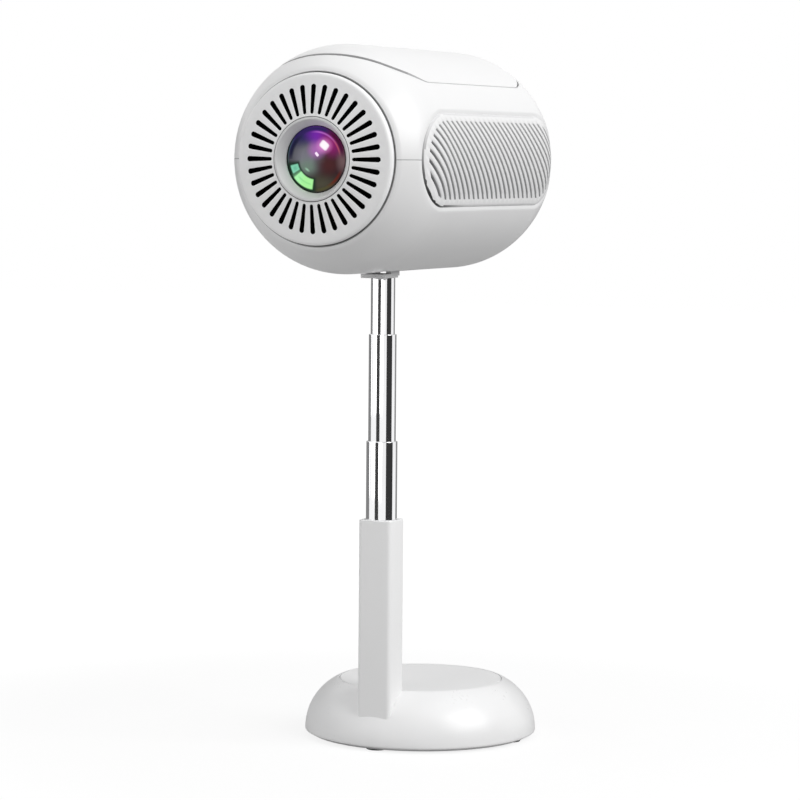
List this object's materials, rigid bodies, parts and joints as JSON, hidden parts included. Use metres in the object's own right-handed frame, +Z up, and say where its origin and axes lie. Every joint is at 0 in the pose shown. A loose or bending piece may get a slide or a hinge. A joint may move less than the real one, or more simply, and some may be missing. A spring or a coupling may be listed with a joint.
{
  "type": "desk video projector",
  "caption": "Barrel-shaped video projector on a telescoping chrome pole with a tilt joint, standing in a weighted domed base.",
  "frame": {"origin": "middle of the underside of the front foot, on the table plane, just in front of the line below the pole", "axes": "+Z up along the pole, the lens looks along -Y, +X is to the right when the lens faces the viewer"},
  "size_m": [0.11, 0.1717, 0.3246],
  "materials": {
    "white_gloss": "glossy moulded plastic",
    "white_matt": "fine matt moulded plastic",
    "grey_matt": "matt light grey plastic",
    "black_plastic": "matt black plastic",
    "chrome": "polished chrome plate",
    "steel": "plain steel",
    "bracket_grey": "satin grey paint on steel",
    "rubber": "grey rubber",
    "lens_glass": "coated glass",
    "clear_plate": "clear moulded plate",
    "picture_panel": "dark glass panel",
    "board_green": "green circuit board",
    "lamp_yellow": "yellow phosphor",
    "aluminium": "extruded aluminium",
    "tinned": "tinned steel sheet",
    "filter_black": "open black foam",
    "ir_dark": "dark red see-through plastic"
  },
  "bodies": {
    "base": {"base_shell": "white_gloss", "base_top_plate": "grey_matt", "base_weight": "steel", "base_bottom_plate": "grey_matt", "feet": "rubber", "base_screws": "steel", "post": "white_matt", "post_collar": "grey_matt", "post_screws": "steel"},
    "lower_slide": {"tube_lower": "chrome", "bush_lower": "black_plastic"},
    "middle_slide": {"tube_middle": "chrome", "bush_middle": "black_plastic"},
    "upper_slide": {"tube_upper": "chrome", "bush_upper": "black_plastic", "tilt_bracket": "bracket_grey"},
    "focus": {"focus_ring": "white_matt"},
    "lens": {"lens_cell": "black_plastic", "front_lens": "lens_glass", "rear_lens": "lens_glass"},
    "fan": {"fan_rotor": "black_plastic"},
    "button": {"power_button": "grey_matt"},
    "head": {"tilt_pin": "steel", "tilt_washers": "black_plastic", "upper_shell": "white_gloss", "lower_shell": "white_gloss", "top_lid": "white_gloss", "side_panel_left": "white_gloss", "side_panel_right": "white_gloss", "shell_screws": "steel", "front_grille": "grey_matt", "dust_filter": "filter_black", "focus_sleeve": "black_plastic", "optical_housing": "black_plastic", "lcd_panel": "picture_panel", "field_lens": "clear_plate", "condenser_lens": "clear_plate", "lamp_board": "aluminium", "lamp": "lamp_yellow", "heat_sink": "aluminium", "fan_frame": "black_plastic", "main_board": "board_green", "video_port": "tinned", "usb_port": "tinned", "sound_jack": "black_plastic", "power_jack": "black_plastic", "rear_cover": "grey_matt", "ir_window": "ir_dark", "speaker_left": "black_plastic", "speaker_right": "black_plastic"}
  },
  "joints": [
    {"name": "lower_tube_slide", "type": "slide", "parent": "base", "child": "lower_slide", "axis": [0, 0, 1], "range_m": [-0.034, 0.035]},
    {"name": "middle_tube_slide", "type": "slide", "parent": "lower_slide", "child": "middle_slide", "axis": [0, 0, 1], "range_m": [-0.046, 0.02]},
    {"name": "upper_tube_slide", "type": "slide", "parent": "middle_slide", "child": "upper_slide", "axis": [0, 0, 1], "range_m": [-0.0243, 0.03]},
    {"name": "head_tilt", "type": "hinge", "parent": "upper_slide", "child": "head", "pos_m": [0, 0.0028, 0.2273], "axis": [-1, 0, 0], "range_deg": [-20, 30]},
    {"name": "focus_turn", "type": "hinge", "parent": "head", "child": "focus", "pos_m": [0, -0.0644, 0.2732], "axis": [0, -1, 0], "range_deg": [-46, 46]},
    {"name": "lens_slide", "type": "slide", "parent": "head", "child": "lens", "axis": [0, -1, 0], "range_m": [-0.002, 0.002]},
    {"name": "fan_spin", "type": "hinge", "parent": "head", "child": "fan", "pos_m": [0, 0.0606, 0.2732], "axis": [0, 1, 0], "continuous": true},
    {"name": "power_press", "type": "slide", "parent": "head", "child": "button", "axis": [0, -1, 0], "range_m": [0, 0.0012], "stiffness_N_per_m": 400, "springref_m": -0.002}
  ],
  "couplings": [
    {"joint": "focus_turn", "follows": "lens_slide", "rad_per_m": 392.7}
  ]
}
